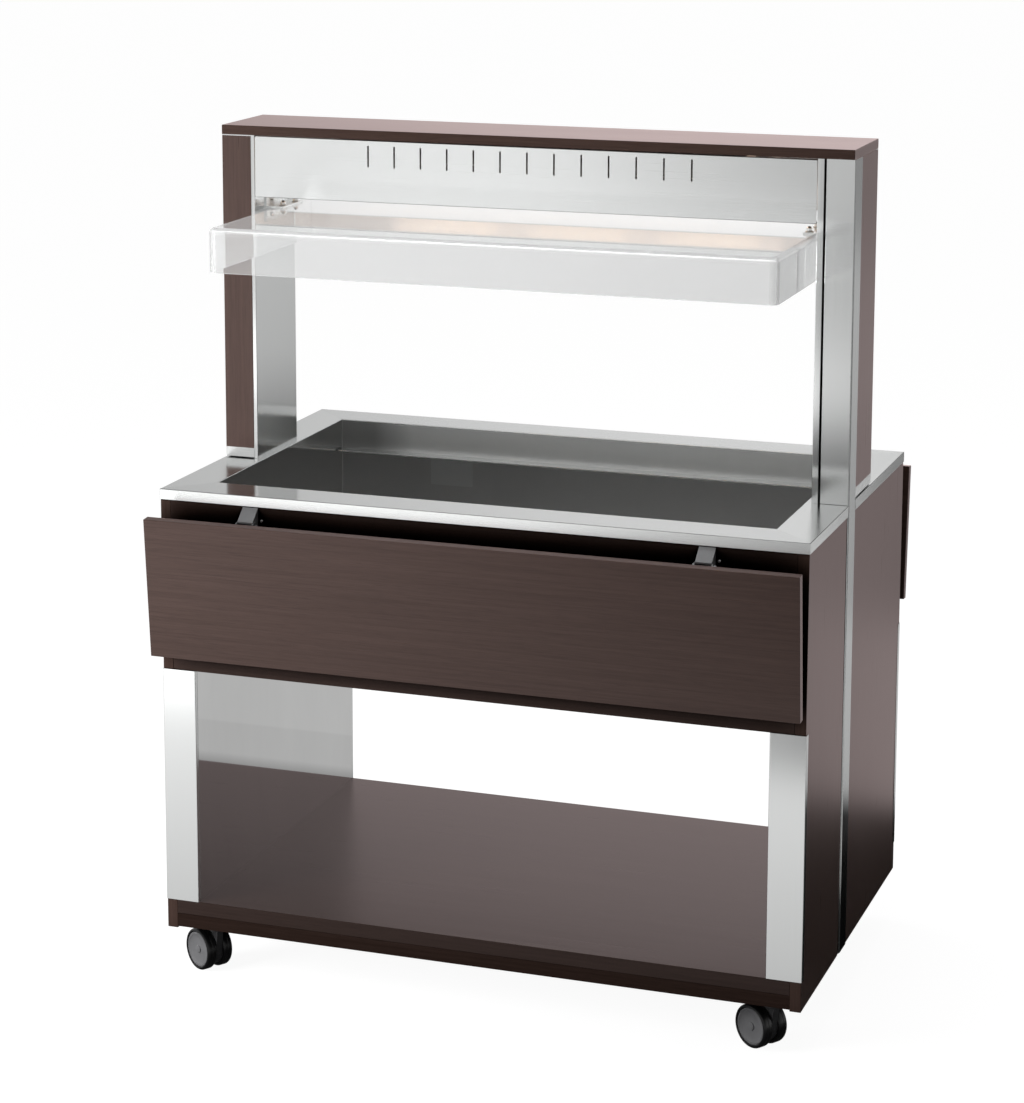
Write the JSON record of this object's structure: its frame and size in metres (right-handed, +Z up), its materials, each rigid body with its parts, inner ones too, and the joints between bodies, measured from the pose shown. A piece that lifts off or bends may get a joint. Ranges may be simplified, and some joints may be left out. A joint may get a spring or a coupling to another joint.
{
  "type": "mobile buffet trolley",
  "caption": "Mobile buffet trolley with pan well, clear guard under a bridge canopy, open shelf and fold-down side shelves on swivel casters.",
  "frame": {"origin": "on the floor, at the middle of the footprint", "axes": "+Z up, +X to the right of someone in front, the front (guests' side) faces -Y"},
  "size_m": [1.1401, 0.858, 1.4845],
  "materials": {
    "laminate": "semi-gloss grey-brown wood-grain laminate",
    "plain_board": "dull dark laminate",
    "brushed_steel": "fine brushed stainless steel",
    "tub_steel": "satin stainless steel",
    "mirror_steel": "mirror-polished stainless sheet",
    "reflector": "bright rolled aluminium",
    "heater": "plain plate",
    "insulation": "pale mineral board",
    "lamp": "frosted warm glass tube with pale sockets",
    "clear_guard": "clear bent acrylic",
    "guard_steel": "brushed stainless angle",
    "bright_fixings": "polished screws and dome nuts",
    "zinc_steel": "satin zinc-grey coat",
    "caster_grey": "moulded grey nylon",
    "hub_grey": "smooth light grey nylon",
    "tyre": "black rubber tread",
    "switch_black": "fine-grained black moulding",
    "rocker_black": "glossy black rocker"
  },
  "bodies": {
    "trolley_frame": {"shelf_board": "laminate", "base_frame": "laminate", "side_panel_left_front": "laminate", "side_panel_left_rear": "laminate", "side_panel_right_front": "laminate", "side_panel_right_rear": "laminate", "apron_front": "laminate", "apron_rear": "laminate", "post_board_left": "laminate", "post_board_right": "laminate", "canopy_board": "laminate", "lining_boards": "plain_board", "box_bottom": "plain_board", "wall_caps": "brushed_steel", "upright_left": "brushed_steel", "upright_right": "brushed_steel", "rim_front": "brushed_steel", "rim_rear": "brushed_steel", "rim_left": "brushed_steel", "rim_right": "brushed_steel", "post_panel_left": "brushed_steel", "post_panel_right": "brushed_steel", "post_plinths": "brushed_steel", "fascia_front": "brushed_steel", "fascia_rear": "brushed_steel", "well_cover_plate": "brushed_steel", "well_tub": "tub_steel", "well_ledges": "tub_steel", "lining_left": "mirror_steel", "lining_right": "mirror_steel", "lamp_reflector": "reflector", "heating_plates": "heater", "insulation_boards": "insulation", "heat_lamps": "lamp", "guard": "clear_guard", "guard_brackets": "guard_steel", "guard_bolts": "bright_fixings", "bracket_legs": "zinc_steel", "caster_plates": "zinc_steel", "switch_frame": "switch_black", "power_inlet": "switch_black"},
    "front_shelf": {"flap_front": "laminate", "bracket_arms_front": "zinc_steel"},
    "rear_shelf": {"flap_rear": "laminate", "bracket_arms_rear": "zinc_steel"},
    "front_stay_pair": {"stays_front": "zinc_steel"},
    "rear_stay_pair": {"stays_rear": "zinc_steel"},
    "lamp_rocker": {"switch_rocker": "rocker_black"},
    "swivel_front_left": {"caster_hood_front_left": "caster_grey"},
    "wheels_front_left": {"caster_hubs_front_left": "hub_grey", "caster_tyres_front_left": "tyre"},
    "swivel_front_right": {"caster_hood_front_right": "caster_grey"},
    "wheels_front_right": {"caster_hubs_front_right": "hub_grey", "caster_tyres_front_right": "tyre"},
    "swivel_rear_left": {"caster_hood_rear_left": "caster_grey"},
    "wheels_rear_left": {"caster_hubs_rear_left": "hub_grey", "caster_tyres_rear_left": "tyre"},
    "swivel_rear_right": {"caster_hood_rear_right": "caster_grey"},
    "wheels_rear_right": {"caster_hubs_rear_right": "hub_grey", "caster_tyres_rear_right": "tyre"}
  },
  "joints": [
    {"name": "front_shelf_hinge", "type": "hinge", "parent": "trolley_frame", "child": "front_shelf", "pos_m": [0, -0.379, 0.837], "axis": [-1, 0, 0], "range_deg": [0, 94.9]},
    {"name": "front_stay_hinge", "type": "hinge", "parent": "front_shelf", "child": "front_stay_pair", "pos_m": [0, -0.3835, 0.77238], "axis": [-1, 0, 0], "range_deg": [-130.8, 0]},
    {"name": "rear_shelf_hinge", "type": "hinge", "parent": "trolley_frame", "child": "rear_shelf", "pos_m": [0, 0.379, 0.837], "axis": [1, 0, 0], "range_deg": [0, 94.9]},
    {"name": "rear_stay_hinge", "type": "hinge", "parent": "rear_shelf", "child": "rear_stay_pair", "pos_m": [0, 0.3835, 0.77238], "axis": [1, 0, 0], "range_deg": [-130.8, 0]},
    {"name": "swivel_front_left", "type": "hinge", "parent": "trolley_frame", "child": "swivel_front_left", "pos_m": [-0.505, -0.297, 0.09], "axis": [0, 0, 1], "continuous": true},
    {"name": "roll_front_left", "type": "hinge", "parent": "swivel_front_left", "child": "wheels_front_left", "pos_m": [-0.5262, -0.28375, 0.0375], "axis": [0.5299, 0.848, 0], "continuous": true},
    {"name": "swivel_front_right", "type": "hinge", "parent": "trolley_frame", "child": "swivel_front_right", "pos_m": [0.505, -0.297, 0.09], "axis": [0, 0, 1], "continuous": true},
    {"name": "roll_front_right", "type": "hinge", "parent": "swivel_front_right", "child": "wheels_front_right", "pos_m": [0.4838, -0.28375, 0.0375], "axis": [0.5299, 0.848, 0], "continuous": true},
    {"name": "swivel_rear_left", "type": "hinge", "parent": "trolley_frame", "child": "swivel_rear_left", "pos_m": [-0.505, 0.297, 0.09], "axis": [0, 0, 1], "continuous": true},
    {"name": "roll_rear_left", "type": "hinge", "parent": "swivel_rear_left", "child": "wheels_rear_left", "pos_m": [-0.5262, 0.31025, 0.0375], "axis": [0.5299, 0.848, 0], "continuous": true},
    {"name": "swivel_rear_right", "type": "hinge", "parent": "trolley_frame", "child": "swivel_rear_right", "pos_m": [0.505, 0.297, 0.09], "axis": [0, 0, 1], "continuous": true},
    {"name": "roll_rear_right", "type": "hinge", "parent": "swivel_rear_right", "child": "wheels_rear_right", "pos_m": [0.4838, 0.31025, 0.0375], "axis": [0.5299, 0.848, 0], "continuous": true},
    {"name": "lamp_switch", "type": "hinge", "parent": "trolley_frame", "child": "lamp_rocker", "pos_m": [0.43, 0.085, 1.4086], "axis": [1, 0, 0], "range_deg": [0, 16]}
  ],
  "couplings": [
    {"joint": "front_stay_hinge", "follows": "front_shelf_hinge", "ratio": -1.378},
    {"joint": "rear_stay_hinge", "follows": "rear_shelf_hinge", "ratio": -1.378}
  ]
}
